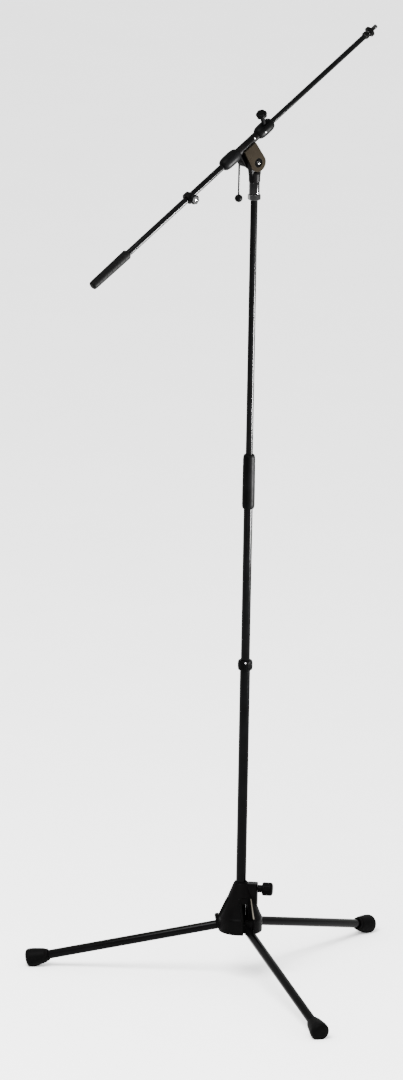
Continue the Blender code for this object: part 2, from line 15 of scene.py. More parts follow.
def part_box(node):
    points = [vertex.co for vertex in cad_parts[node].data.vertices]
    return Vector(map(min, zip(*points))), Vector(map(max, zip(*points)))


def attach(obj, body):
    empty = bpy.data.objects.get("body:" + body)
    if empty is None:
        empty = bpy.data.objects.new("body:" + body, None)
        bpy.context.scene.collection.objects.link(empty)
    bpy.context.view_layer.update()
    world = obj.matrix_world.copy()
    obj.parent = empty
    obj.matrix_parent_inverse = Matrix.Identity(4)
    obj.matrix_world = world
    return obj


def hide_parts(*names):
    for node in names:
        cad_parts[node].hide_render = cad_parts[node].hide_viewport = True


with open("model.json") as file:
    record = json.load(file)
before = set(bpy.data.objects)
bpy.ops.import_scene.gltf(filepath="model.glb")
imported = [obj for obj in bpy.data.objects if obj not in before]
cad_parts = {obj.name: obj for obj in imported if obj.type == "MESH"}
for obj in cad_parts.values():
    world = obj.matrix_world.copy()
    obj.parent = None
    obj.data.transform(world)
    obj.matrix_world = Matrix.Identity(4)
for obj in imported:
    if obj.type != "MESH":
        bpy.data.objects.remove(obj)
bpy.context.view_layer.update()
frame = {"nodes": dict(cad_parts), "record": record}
MM = 0.001

# Sizes that the design fixes, in millimetres
LEG_SLOT = 22.0
THREAD_RADIUS = 4.75
THREAD_PITCH = 1.59
RING_NUT_AT = 398.0
FOOT_REACH = 452.0
FOOT_HEIGHT = 21.0
SLOT_TOP = 192.0
CAVITY_TOP = 176.0
TBAR_OFFSET = 54.0
TBAR_DROP = 91.0
NUT_FLATS = 25.0
GRIP_START = -488.0
GRIP_END = -376.0
BOOM_BOSS = 380.3
BOOM_END = 419.0

# Camera, in metres and degrees, measured from the foot of the column
CAMERA_OFFSET = (-0.1006, -20.0, 6.2643)
CAMERA_PITCH = 14.75
CAMERA_ROLL = 1.03
CAMERA_LENS = 315.7
FLAT_AREA = 40.0              # square millimetres above which a face is a flat


# ------------------------------------------------------------------ frame helpers

def joint(name):
    for item in frame["record"]["behaviour"]["joints"]:
        if item["name"] == name:
            return item
    raise KeyError(name)


def joint_place(name):
    item = joint(name)
    return Vector(item["pos_m"]) / MM, Vector(item["axis"]).normalized()


def low_high(node):
    low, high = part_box(node)
    return Vector(low) / MM, Vector(high) / MM


def pose(origin, z_axis, x_hint=(0.0, 0.0, 1.0)):
    """Frame whose z runs along z_axis and whose x leans to x_hint."""
    z_dir = Vector(z_axis).normalized()
    x_dir = Vector(x_hint) - Vector(x_hint).dot(z_dir) * z_dir
    if x_dir.length < 1e-6:
        x_dir = Vector((1.0, 0.0, 0.0)) - z_dir.x * z_dir
    x_dir.normalize()
    y_dir = z_dir.cross(x_dir)
    place = Matrix((x_dir, y_dir, z_dir)).transposed().to_4x4()
    place.translation = Vector(origin) * MM
    return place


COLUMN = joint_place("boom_pan")[0]
COLUMN.z = 0.0
UPRIGHT = pose(COLUMN, (0, 0, 1), (1, 0, 0))
PIVOT, NEAR = joint_place("boom_tilt")
FAR = -NEAR
TIP, BOOM_DIR = joint_place("ring_nut_turn")
BOOM_ORIGIN = TIP - BOOM_DIR * RING_NUT_AT
BOOM_UP = (BOOM_ORIGIN - PIVOT).normalized()
ALONG_BOLT = pose(PIVOT, FAR, BOOM_UP)
ALONG_BOOM = pose(BOOM_ORIGIN, BOOM_DIR, BOOM_UP)
HOLDER_KNOB = pose(*joint_place("holder_knob_turn"))
STOP_KNOB = pose(*joint_place("stop_knob_turn"))
BASE_KNOB = pose(*joint_place("base_knob_turn"))


# ---------------------------------------------------------------------- materials

class Nodes:
    """Short calls for building one material's node tree."""

    def __init__(self, name):
        self.material = bpy.data.materials.new(name)
        self.material.use_nodes = True
        self.tree = self.material.node_tree
        self.shader = self.tree.nodes["Principled BSDF"]
        self.coords = self.tree.nodes.new("ShaderNodeTexCoord").outputs["Object"]

    def link(self, source, target):
        self.tree.links.new(source, target)

    def noise(self, scale, detail=4.0, roughness=0.55, stretch=None):
        node = self.tree.nodes.new("ShaderNodeTexNoise")
        node.inputs["Scale"].default_value = scale
        node.inputs["Detail"].default_value = detail
        node.inputs["Roughness"].default_value = roughness
        if stretch:
            mapping = self.tree.nodes.new("ShaderNodeMapping")
            mapping.inputs["Scale"].default_value = stretch
            self.link(self.coords, mapping.inputs["Vector"])
            self.link(mapping.outputs["Vector"], node.inputs["Vector"])
        else:
            self.link(self.coords, node.inputs["Vector"])
        return node.outputs["Fac"]

    def cells(self, scale):
        node = self.tree.nodes.new("ShaderNodeTexVoronoi")
        node.inputs["Scale"].default_value = scale
        self.link(self.coords, node.inputs["Vector"])
        return node.outputs["Distance"]

    def remap(self, value, low, high, out_low=0.0, out_high=1.0):
        node = self.tree.nodes.new("ShaderNodeMapRange")
        node.clamp = True
        node.inputs["From Min"].default_value = low
        node.inputs["From Max"].default_value = high
        node.inputs["To Min"].default_value = out_low
        node.inputs["To Max"].default_value = out_high
        self.link(value, node.inputs["Value"])
        return node.outputs["Result"]

    def multiply(self, first, second):
        node = self.tree.nodes.new("ShaderNodeMath")
        node.operation = "MULTIPLY"
        self.link(first, node.inputs[0])
        self.link(second, node.inputs[1])
        return node.outputs[0]

    def edge(self):
        node = self.tree.nodes.new("ShaderNodeAttribute")
        node.attribute_name = "edge"
        return node.outputs["Fac"]

    def mix_colour(self, factor, first, second):
        node = self.tree.nodes.new("ShaderNodeMix")
        node.data_type = "RGBA"
        self.link(factor, node.inputs["Factor"])
        for socket, value in ((node.inputs["A"], first), (node.inputs["B"], second)):
            if isinstance(value, tuple):
                socket.default_value = (*value, 1.0)
            else:
                self.link(value, socket)
        return node.outputs["Result"]

    def bump(self, height, strength, distance, below=None):
        node = self.tree.nodes.new("ShaderNodeBump")
        node.inputs["Strength"].default_value = strength
        node.inputs["Distance"].default_value = distance
        self.link(height, node.inputs["Height"])
        if below:
            self.link(below, node.inputs["Normal"])
        return node.outputs["Normal"]

    def constants(self, **values):
        for key, value in values.items():
            self.shader.inputs[key.replace("_", " ")].default_value = value


def grey(value):
    return (value, value, value)


def worn_finish(name, colour, pale, worn, rough, grain, relief, specular, metallic=0.0):
    """Finish with broad tone drift, a fine grain and light wear on marked edges."""
    nodes = Nodes(name)
    drift = nodes.remap(nodes.noise(28.0, 3.0), 0.35, 0.7)
    base = nodes.mix_colour(drift, colour, pale)
    wear_noise = nodes.remap(nodes.noise(420.0, 5.0, 0.65), 0.50, 0.66)
    wear = nodes.multiply(nodes.edge(), wear_noise)
    nodes.link(nodes.mix_colour(wear, base, worn), nodes.shader.inputs["Base Color"])
    smudge = nodes.noise(60.0, 5.0, 0.6)
    nodes.link(nodes.remap(smudge, 0.3, 0.72, rough[0], rough[1]),
               nodes.shader.inputs["Roughness"])
    scratch = nodes.bump(nodes.noise(90.0, 4.0, 0.7, (1.0, 1.0, 14.0)), 0.06, 0.0002)
    nodes.link(nodes.bump(nodes.noise(grain, 3.0, 0.6), relief, 0.0003, scratch),
               nodes.shader.inputs["Normal"])
    nodes.constants(Specular_IOR_Level=specular, Metallic=metallic)
    return nodes.material


def powder_coat():
    return worn_finish("powder_coat_black", (0.0005, 0.0005, 0.0005), (0.0010, 0.0010, 0.0011),
                       (0.004, 0.004, 0.004), (0.15, 0.24), 1700.0, 0.08, 0.022)


def cast_coat():
    return worn_finish("cast_coat_black", (0.0006, 0.0006, 0.0006), (0.0013, 0.0012, 0.0012),
                       (0.0030, 0.0028, 0.0026), (0.32, 0.46), 1100.0, 0.28, 0.010)


def moulded_plastic(name):
    return worn_finish(name, (0.0005, 0.0005, 0.0005),
                       (0.0011, 0.0011, 0.0012), (0.0024, 0.0024, 0.0024),
                       (0.36, 0.50), 2300.0, 0.26, 0.010)


def rubber(name):
    nodes = Nodes(name)
    dust = nodes.remap(nodes.noise(160.0, 6.0, 0.7), 0.52, 0.8)
    nodes.link(nodes.mix_colour(dust, (0.0006, 0.0006, 0.0006), (0.0028, 0.0026, 0.0024)),
               nodes.shader.inputs["Base Color"])
    nodes.link(nodes.remap(dust, 0.0, 1.0, 0.55, 0.8), nodes.shader.inputs["Roughness"])
    pores = nodes.bump(nodes.cells(1500.0), 0.25, 0.0002)
    nodes.link(nodes.bump(nodes.noise(240.0, 5.0, 0.6), 0.12, 0.0004, pores),
               nodes.shader.inputs["Normal"])
    nodes.constants(Specular_IOR_Level=0.016)
    return nodes.material


def plated(name, colour, dull, rough, brush):
    """Plated steel: faint lengthwise polishing marks, haze in patches."""
    nodes = Nodes(name)
    haze = nodes.remap(nodes.noise(70.0, 5.0, 0.6), 0.42, 0.75)
    nodes.link(nodes.mix_colour(haze, grey(colour), grey(dull)), nodes.shader.inputs["Base Color"])
    nodes.link(nodes.remap(haze, 0.0, 1.0, rough[0], rough[1]),
               nodes.shader.inputs["Roughness"])
    nodes.link(nodes.bump(nodes.noise(130.0, 4.0, 0.6, (1.0, 1.0, 22.0)), brush, 0.0002),
               nodes.shader.inputs["Normal"])
    nodes.constants(Metallic=1.0)
    return nodes.material


def taupe_paint():
    """Dark taupe metallic paint with a fine fleck, rubbed pale on the edges."""
    nodes = Nodes("taupe_paint")
    fleck = nodes.remap(nodes.noise(2600.0, 2.0), 0.42, 0.68)
    drift = nodes.remap(nodes.noise(45.0, 4.0), 0.3, 0.75)
    base = nodes.mix_colour(drift, (0.0026, 0.0021, 0.0015), (0.0035, 0.0029, 0.0021))
    flecked = nodes.mix_colour(fleck, base, (0.0050, 0.0041, 0.0030))
    rub = nodes.multiply(nodes.edge(), nodes.remap(nodes.noise(260.0, 4.0), 0.30, 0.55))
    nodes.link(nodes.mix_colour(rub, flecked, (0.016, 0.0145, 0.012)),
               nodes.shader.inputs["Base Color"])
    nodes.link(nodes.remap(drift, 0.0, 1.0, 0.5, 0.62), nodes.shader.inputs["Roughness"])
    nodes.link(nodes.bump(nodes.noise(900.0, 4.0), 0.18, 0.0003),
               nodes.shader.inputs["Normal"])
    nodes.constants(Specular_IOR_Level=0.0)
    return nodes.material


COAT = powder_coat()
CAST = cast_coat()
PLASTIC = moulded_plastic("moulded_plastic_black")
BALL = moulded_plastic("ball_plastic")
RUBBER = rubber("rubber_black")
RUBBER_GRIP = rubber("rubber_grip")
CHROME = plated("chrome_plate", 0.022, 0.014, (0.06, 0.16), 0.05)
CHROME_DARK = plated("black_nickel", 0.010, 0.007, (0.08, 0.20), 0.05)
BRIGHT = plated("bright_zinc", 0.62, 0.50, (0.12, 0.22), 0.05)
STEEL = plated("zinc_steel", 0.10, 0.06, (0.22, 0.38), 0.15)
DARK_STEEL = plated("dark_steel", 0.008, 0.005, (0.20, 0.34), 0.12)
TAUPE = taupe_paint()
# Pale tan finish for the strips on the leg slots' edges: a painted highlight, not wear.
PAINTED_HIGHLIGHT = worn_finish("painted_highlight_cast", (0.045, 0.040, 0.032), (0.085, 0.078, 0.064),
                     (0.12, 0.11, 0.09), (0.4, 0.5), 900.0, 0.25, 0.2)
# Near-black finish without specular for the disc in the bolt's recess: painted shade.
RECESS_SHADE = worn_finish("recess_painted_shade", grey(0.0004), grey(0.0008), grey(0.001),
                     (0.6, 0.7), 1100.0, 0.2, 0.0)


# ------------------------------------------------------------------- mesh helpers

def arc(centre, radius, start, end, steps):
    points = []
    for step in range(steps + 1):
        angle = math.radians(start + (end - start) * step / steps)
        points.append((centre[0] + radius * math.cos(angle),
                       centre[1] + radius * math.sin(angle)))
    return points


def soften(outline, radius, closed, steps=3):
    """Round the corners of an outline; returns (radius, height, corner weight) points."""
    count = len(outline)
    result = []
    for index, point in enumerate(outline):
        here = Vector(point)
        at_end = not closed and index in (0, count - 1)
        if at_end:
            result.append((here.x, here.y, 0.0))
            continue
        before = Vector(outline[index - 1]) - here
        after = Vector(outline[(index + 1) % count]) - here
        turn = math.pi - before.angle(after)
        reach = min(radius, before.length * 0.42, after.length * 0.42)
        if turn < math.radians(14.0) or reach < 0.02:
            result.append((here.x, here.y, 0.0))
            continue
        first = here + before.normalized() * reach
        last = here + after.normalized() * reach
        for step in range(steps + 1):
            share = step / steps
            spot = (first * (1 - share) ** 2 + here * 2 * share * (1 - share)
                    + last * share ** 2)
            weight = 1.0 if 0 < step < steps else 0.0
            result.append((spot.x, spot.y, weight if turn > math.radians(35.0) else 0.0))
    return result


def finish_piece(name, bm, material, place, body, nodes=()):
    bmesh.ops.scale(bm, vec=(MM, MM, MM), verts=bm.verts)
    bmesh.ops.recalc_face_normals(bm, faces=bm.faces)
    mesh = bpy.data.meshes.new(name)
    bm.to_mesh(mesh)
    bm.free()
    mesh.materials.append(material)
    mesh.shade_smooth()
    mesh.set_sharp_from_angle(angle=math.radians(38.0))
    piece = bpy.data.objects.new(name, mesh)
    bpy.context.collection.objects.link(piece)
    piece.matrix_world = place
    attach(piece, body)
    if nodes:
        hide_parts(*nodes)
    return piece


def subdivide_outline(points, longest):
    """Split long stretches so that a ripple along the height has rings to act on."""
    result = [points[0]]
    for point in points[1:]:
        last = result[-1]
        length = math.hypot(point[0] - last[0], point[1] - last[1])
        pieces = max(1, math.ceil(length / longest))
        for step in range(1, pieces + 1):
            share = step / pieces
            result.append(tuple(last[axis] + (point[axis] - last[axis]) * share
                                for axis in range(3)))
    return result


def turned_mesh(bm, outline, sides=64, corner=0.6, ripple=None, ring_length=None):
    """Turn a (radius, height) outline.  ripple(angle, radius, height) gives a new radius."""
    closed = outline[0][0] > 0.0
    points = soften(outline, corner, closed)
    if ring_length:
        points = subdivide_outline(points, ring_length)
    edge = bm.verts.layers.float.get("edge") or bm.verts.layers.float.new("edge")
    rings = []
    for radius, height, weight in points:
        if radius <= 1e-6:
            vert = bm.verts.new((0.0, 0.0, height))
            vert[edge] = 0.0
            rings.append([vert])
            continue
        ring = []
        for side in range(sides):
            angle = math.tau * side / sides
            reach = ripple(angle, radius, height) if ripple else radius
            vert = bm.verts.new((reach * math.cos(angle), reach * math.sin(angle), height))
            vert[edge] = weight
            ring.append(vert)
        rings.append(ring)
    pairs = list(zip(rings, rings[1:]))
    if closed:
        pairs.append((rings[-1], rings[0]))
    for lower, upper in pairs:
        for side in range(sides):
            after = (side + 1) % sides
            corners = [lower[side % len(lower)], lower[after % len(lower)],
                       upper[after % len(upper)], upper[side % len(upper)]]
            unique = list(dict.fromkeys(corners))
            if len(unique) > 2:
                bm.faces.new(unique)


def turned(name, outline, material, place, body, nodes=(), **options):
    bm = bmesh.new()
    turned_mesh(bm, outline, **options)
    return finish_piece(name, bm, material, place, body, nodes)


def tube_outline(outer, inner, start, end):
    return [(inner, start), (outer, start), (outer, end), (inner, end)]


def rod_outline(radius, start, end):
    return [(0.0, start), (radius, start), (radius, end), (0.0, end)]


def lobes(count, depth, above):
    """Ripple that scallops the part of a knob that is wider than a given radius."""
    def ripple(angle, radius, height):
        if radius <= above:
            return radius
        share = min(1.0, (radius - above) / 1.5)
        return radius - depth * share * (0.5 - 0.5 * math.cos(count * angle)) ** 2
    return ripple


def flutes(count, depth, above, low, high):
    """Narrow grip flutes between two heights, fading out at both ends."""
    def ripple(angle, radius, height):
        if radius <= above:
            return radius
        fade = max(0.0, min(1.0, (height - low) / 1.5, (high - height) / 1.5))
        groove = max(0.0, math.cos(count * angle)) ** 3
        return radius - depth * fade * groove
    return ripple


def thread(pitch, depth, start, end):
    """Helical thread between two heights; its crest is the full radius."""
    def ripple(angle, radius, height):
        if not start <= height <= end or radius < 2.0:
            return radius
        phase = (height / pitch - angle / math.tau) % 1.0
        return radius - depth * (1.0 - abs(2.0 * phase - 1.0))
    return ripple


def hexagon(flats):
    """Ripple that cuts a turned blank to a hexagon with chamfered corners."""
    def ripple(angle, radius, height):
        offset = (angle + math.pi / 6.0) % (math.pi / 3.0) - math.pi / 6.0
        return min(radius, flats / 2.0 / math.cos(offset))
    return ripple


def apply_modifiers(piece):
    bpy.context.view_layer.update()
    evaluated = piece.evaluated_get(bpy.context.evaluated_depsgraph_get())
    mesh = bpy.data.meshes.new_from_object(evaluated)
    piece.modifiers.clear()
    piece.data = mesh


def mark_edges(piece, degrees, reach=1):
    """Write the edge attribute from how sharply the faces turn at each vertex."""
    bm = bmesh.new()
    bm.from_mesh(piece.data)
    layer = bm.verts.layers.float.get("edge") or bm.verts.layers.float.new("edge")
    limit = math.radians(degrees)
    for vert in bm.verts:
        angles = [link.calc_face_angle_signed(0.0) for link in vert.link_edges
                  if len(link.link_faces) == 2]
        steepest = max(angles) if angles else 0.0
        widest = max(face.calc_area() for face in vert.link_faces)
        flat = widest > FLAT_AREA * MM * MM
        vert[layer] = 0.0 if flat else min(1.0, max(0.0, steepest) / limit)
    for _ in range(reach):
        spread = {vert: max([other[layer] * 0.6 for link in vert.link_edges
                             for other in link.verts] + [vert[layer]]) for vert in bm.verts}
        for vert, value in spread.items():
            vert[layer] = value
    bm.to_mesh(piece.data)
    bm.free()


def plain_solid(bm_maker, place):
    """Temporary solid for a Boolean, in millimetres like the pieces."""
    bm = bmesh.new()
    bm_maker(bm)
    bmesh.ops.scale(bm, vec=(MM, MM, MM), verts=bm.verts)
    bmesh.ops.recalc_face_normals(bm, faces=bm.faces)
    mesh = bpy.data.meshes.new("tool")
    bm.to_mesh(mesh)
    bm.free()
    tool = bpy.data.objects.new("tool", mesh)
    bpy.context.collection.objects.link(tool)
    tool.matrix_world = place
    return tool


def cut(piece, tool, operation="DIFFERENCE"):
    modifier = piece.modifiers.new("cut", "BOOLEAN")
    modifier.operation = operation
    modifier.solver = "EXACT"
    modifier.object = tool
    apply_modifiers(piece)
    bpy.data.objects.remove(tool, do_unlink=True)


def block(low, high):
    def maker(bm):
        bmesh.ops.create_cube(bm, size=1.0)
        bmesh.ops.scale(bm, vec=Vector(high) - Vector(low), verts=bm.verts)
        bmesh.ops.translate(bm, vec=(Vector(high) + Vector(low)) / 2.0, verts=bm.verts)
    return maker


def bar(radius, start, end, sides=48):
    def maker(bm):
        turned_mesh(bm, rod_outline(radius, start, end), sides, corner=0.0)
    return maker


def slab(outline, start, end):
    def maker(bm):
        face = bm.faces.new([bm.verts.new((x, y, start)) for x, y in outline])
        grown = bmesh.ops.extrude_face_region(bm, geom=[face])
        top = [item for item in grown["geom"] if isinstance(item, bmesh.types.BMVert)]
        bmesh.ops.translate(bm, vec=(0.0, 0.0, end - start), verts=top)
    return maker


def cast_surface(piece, voxel, rounds):
    """Remesh a rough solid finely and relax it, for the soft edges of a casting."""
    remesh = piece.modifiers.new("remesh", "REMESH")
    remesh.mode = "VOXEL"
    remesh.voxel_size = voxel * MM
    relax = piece.modifiers.new("relax", "CORRECTIVE_SMOOTH")
    relax.iterations = rounds
    relax.use_only_smooth = True
    relax.smooth_type = "LENGTH_WEIGHTED"
    apply_modifiers(piece)
    piece.data.shade_smooth()


# --------------------------------------------------------------------- tripod base

HINGES = [joint_place(f"leg_{number}_fold")[0] for number in (1, 2, 3)]
KNOB_OUT = joint_place("base_knob_turn")[1]


def outward(hinge):
    away = hinge - COLUMN
    away.z = 0.0
    return away.normalized()


def base_housing():
    low, high = low_high("base_housing")
    bottom, top = low.z, high.z
    cone_foot = top - 75.0
    outline = [(13.6, top), (13.6, CAVITY_TOP), (28.0, CAVITY_TOP), (28.0, bottom), (47.6, bottom),
               (48.6, bottom + 1.2), (48.6, cone_foot - 6.0), (47.8, cone_foot - 2.0),
               (45.6, cone_foot + 1.5), (16.9, top - 2.4), (15.9, top)]
    piece = turned("housing_casting", outline, CAST, UPRIGHT, "base", ["base_housing"],
                   sides=120, corner=1.6)
    along = pose(COLUMN, (0, 0, 1), KNOB_OUT)
    for start, low_end, high_end in ((14.2, 178.0, top - 0.4), (30.0, 168.5, 179.0)):
        boss = [(start, -10.8), (34.5, -10.8), (37.3, -8.0), (37.3, 8.0), (34.5, 10.8),
                (start, 10.8)]
        cut(piece, plain_solid(slab(boss, low_end, high_end), along), "UNION")
    for hinge in HINGES:
        out = outward(hinge)
        across = pose(COLUMN, (0, 0, 1), out)
        for near, far in ((-15.5, -9.0), (9.0, 15.5)):
            cut(piece, plain_solid(rib_solid(near, far), across), "UNION")
        half = LEG_SLOT / 2.0
        cut(piece, plain_solid(block((25.0, -half, bottom - 5.0), (60.0, half, SLOT_TOP)), across))
        pin = pose(hinge, Vector((0, 0, 1)).cross(out))
        cut(piece, plain_solid(bar(3.3, -18.0, 18.0, 24), pin))
        # Painted highlight strip on one sloping edge of the slot.
        slot_edge_highlight(hinge, across)
    cut(piece, plain_solid(bar(4.4, 11.0, 40.0, 32), BASE_KNOB))
    cut(piece, plain_solid(bar(13.6, 171.0, top + 5.0, 96), UPRIGHT))
    cast_surface(piece, 0.7, 3)
    mark_edges(piece, 30.0)
    return piece


def slot_edge_highlight(hinge, across):
    """Pale tapering strip along the sloping edge on one side of a leg slot: a painted highlight
    where that edge catches the light.
    """
    number = HINGES.index(hinge) + 1
    upper = [(29.0, 11.6, 188.9), (29.8, 11.6, 188.9), (29.8, 13.0, 188.9), (29.0, 13.0, 188.9)]
    lower = [(46.6, 11.2, 147.4), (47.9, 11.2, 147.4), (47.9, 14.2, 147.4), (46.6, 14.2, 147.4)]
    bm = bmesh.new()
    rings = [[bm.verts.new(point) for point in ring] for ring in (lower, upper)]
    bm.faces.new(rings[0])
    bm.faces.new(rings[1])
    for index in range(4):
        after = (index + 1) % 4
        bm.faces.new([rings[0][index], rings[0][after], rings[1][after], rings[1][index]])
    finish_piece(f"slot_edge_highlight_{number}", bm, PAINTED_HIGHLIGHT, across, "base")


def rib_solid(near, far):
    """Raised rib beside a leg slot, its outer edge following the cone plus a little."""
    profile = [(20.0, 188.0), (29.0, 188.0), (47.2, 147.0), (48.4, 139.0), (48.4, 120.0),
               (20.0, 120.0)]

    def maker(bm):
        face = bm.faces.new([bm.verts.new((x, near, z)) for x, z in profile])
        grown = bmesh.ops.extrude_face_region(bm, geom=[face])
        moved = [item for item in grown["geom"] if isinstance(item, bmesh.types.BMVert)]
        bmesh.ops.translate(bm, vec=(0.0, far - near, 0.0), verts=moved)
    return maker


def base_fittings():
    low, high = low_high("column_bush")
    top = high.z
    outline = [(11.6, low.z), (13.3, low.z), (13.3, top - 1.8), (15.0, top - 1.8),
               (15.0, top - 0.7), (14.4, top), (11.6, top)]
    turned("bush_moulding", outline, PLASTIC, UPRIGHT, "base", ["column_bush"])
    knob = [(0.0, 65.0), (4.3, 65.0), (4.3, 38.0), (8.5, 38.0), (8.5, 47.0), (13.5, 48.0),
            (15.0, 50.0), (15.0, 62.0)]
    knob += arc((9.5, 65.5), 5.5, 10.0, 90.0, 8)
    knob += [(0.0, 71.0)]
    turned("base_knob_moulding", knob, PLASTIC, BASE_KNOB, "lock_knob", ["base_knob"],
           sides=144, ripple=flutes(18, 0.7, 10.0, 50.5, 66.0), ring_length=1.5)


def legs():
    for number, hinge in enumerate(HINGES, 1):
        out = outward(hinge)
        side = Vector((0, 0, 1)).cross(out)
        foot = COLUMN + out * FOOT_REACH + Vector((0, 0, FOOT_HEIGHT))
        along = (foot - hinge).normalized()
        reach = (foot - hinge).length
        place = pose(hinge, along, side)
        body = f"leg_{number}"
        prefix = f"leg_{number}_"
        turned(prefix + "tube_coated", tube_outline(10.0, 8.8, 13.9, reach + 12.0), COAT,
               place, body, [prefix + "tube"], corner=0.5)
        start = reach - 26.0
        end = reach + 26.0
        cap = [(0.0, reach + 12.3), (10.3, reach + 12.3), (10.3, start), (12.6, start),
               (13.6, start + 0.8), (13.9, start + 3.2), (13.5, start + 4.4),
               (14.6, start + 5.6), (15.9, start + 8.0), (18.3, start + 20.0),
               (20.5, start + 33.0), (21.2, end - 10.0), (20.6, end - 6.4),
               (18.6, end - 3.2), (15.0, end - 1.2), (9.0, end), (0.0, end)]
        piece = turned(prefix + "foot_rubber", cap, RUBBER, place, body, [prefix + "foot"],
                       corner=1.8, sides=96, ring_length=3.0)
        flatten_on_floor(piece)


def flatten_on_floor(piece):
    """Press whatever reaches below the floor up to it, as a foot's moulded sole."""
    to_world = piece.matrix_world.copy()
    to_local = to_world.inverted()
    for vert in piece.data.vertices:
        spot = to_world @ vert.co
        if spot.z < 0.0:
            spot.z = 0.0
            vert.co = to_local @ spot


# -------------------------------------------------------------------------- column

def column():
    for node, outer, inner, body in (("bottom_tube", 11.3, 10.3, "column"),
                                     ("middle_tube", 10.0, 8.8, "middle"),
                                     ("top_tube", 8.0, 6.8, "top")):
        low, high = low_high(node)
        turned(node + "_coated", tube_outline(outer, inner, low.z, high.z), COAT, UPRIGHT,
               body, [node], corner=0.5, sides=72)

    low, high = low_high("mid_ring")
    bottom, top = low.z, high.z
    ring = [(11.6, bottom), (14.4, bottom), (15.6, bottom + 1.6), (16.1, bottom + 4.0),
            (16.5, bottom + 7.0), (16.5, top - 7.0), (16.1, top - 4.0), (15.6, top - 1.6),
            (14.4, top), (10.4, top), (10.4, top - 4.0), (13.4, top - 4.0),
            (13.4, bottom + 7.8), (11.6, bottom + 7.8)]
    turned("mid_ring_moulding", ring, PLASTIC, UPRIGHT, "mid_lock", ["mid_ring"],
           sides=144, ripple=flutes(24, 0.55, 15.0, bottom + 3.0, top - 3.0), ring_length=1.2)
    small_screw("mid_ring_screw", COLUMN + Vector((0, 0, top - 5.0)), Vector((0.04, -1, 0.1)),
                16.1, 1.9, "mid_lock")

    low, high = low_high("clutch_grip")
    bottom, top = low.z, high.z
    pocket = top - 8.0
    inner_step = top - 33.7
    grip = [(10.3, bottom), (11.4, bottom), (12.6, bottom + 1.2), (13.6, bottom + 4.0),
            (14.1, bottom + 9.0), (14.05, bottom + 40.0), (13.6, top - 12.0),
            (13.2, top - 6.0), (12.2, top - 2.2), (10.6, top), (8.4, top),
            (8.4, top - 6.0), (11.4, pocket), (11.4, inner_step), (10.3, inner_step)]
    turned("clutch_moulding", grip, PLASTIC, UPRIGHT, "clutch", ["clutch_grip"], sides=96,
           corner=1.2, ripple=grip_grooves(bottom, top), ring_length=1.2)

    low, high = low_high("lock_nut")
    nut = [(5.05, low.z), (12.6, low.z), (14.4, low.z + 1.4), (14.4, high.z - 1.4),
           (12.6, high.z), (5.05, high.z)]
    turned("lock_nut_plated", nut, CHROME, UPRIGHT @ Matrix.Rotation(math.radians(20), 4, "Z"),
           "nut", ["lock_nut"], sides=96, corner=0.3, ripple=hexagon(NUT_FLATS))


def grip_grooves(bottom, top):
    """Two shallow turned grooves near each end of the clutch grip."""
    levels = (bottom + 14.0, bottom + 17.0, top - 20.0, top - 23.0)

    def ripple(angle, radius, height):
        if radius < 12.0:
            return radius
        dip = max(math.exp(-((height - level) / 0.7) ** 2) for level in levels)
        return radius - 0.35 * dip
    return ripple


def small_screw(name, origin, direction, surface, radius, body):
    """Domed cross-slot screw head sunk in a surface at the given distance."""
    crown = 0.55 * radius
    outline = [(0.0, surface - 1.0), (radius, surface - 1.0), (radius, surface + 0.25)]
    outline += [(radius * math.cos(math.radians(step * 15.0)),
                 surface + 0.25 + crown * math.sin(math.radians(step * 15.0)))
                for step in range(1, 6)]
    outline += [(0.0, surface + 0.25 + crown)]
    piece = turned(name, outline, BRIGHT, pose(origin, direction), body,
                   sides=48, corner=0.05)
    top = surface + crown + 0.6
    slot = radius * 0.16
    for turn in (0.0, 90.0):
        place = pose(origin, direction) @ Matrix.Rotation(math.radians(turn), 4, "Z")
        low = (-radius * 0.62, -slot, surface + crown * 0.45)
        cut(piece, plain_solid(block(low, (radius * 0.62, slot, top)), place))
    return piece


# -------------------------------------------------------------------------- swivel

def swivel():
    low, high = low_high("swivel_sleeve")
    sleeve = [(5.05, low.z), (11.2, low.z), (11.85, low.z + 0.7), (11.85, high.z - 0.7),
              (11.4, high.z), (5.05, high.z)]
    turned("swivel_sleeve_plated", sleeve, CHROME_DARK, UPRIGHT, "swivel", ["swivel_sleeve"],
           sides=96, corner=0.3)

    low, high = low_high("swivel_stem")
    bottom = low.z
    body = [(0.0, bottom), (12.1, bottom), (12.7, bottom + 0.8), (12.7, bottom + 18.0),
            (11.0, bottom + 21.5), (8.0, bottom + 24.0), (0.0, bottom + 24.0)]
    piece = turned("swivel_casting", body, CAST, UPRIGHT, "swivel", ["swivel_stem"],
                   sides=96, corner=0.8)
    foot = bottom + 12.0 - PIVOT.z
    ear = arc((0.0, 0.0), 16.9, -90.0, 90.0, 32) + [(foot, 11.0), (foot, -11.0)]
    upright_bolt = pose(PIVOT, FAR, (0, 0, 1))
    cut(piece, plain_solid(slab(ear, -6.95, 6.95), upright_bolt), "UNION")
    cut(piece, plain_solid(bar(4.35, -10.0, 10.0), upright_bolt))
    cast_surface(piece, 0.4, 2)
    mark_edges(piece, 30.0)

    for name, start in (("near_washer", -8.1), ("far_washer", 7.2)):
        washer = tube_outline(16.0, 4.3, start, start + 0.9)
        turned(name + "_fibre", washer, PLASTIC, ALONG_BOLT, "holder", [name], corner=0.15)


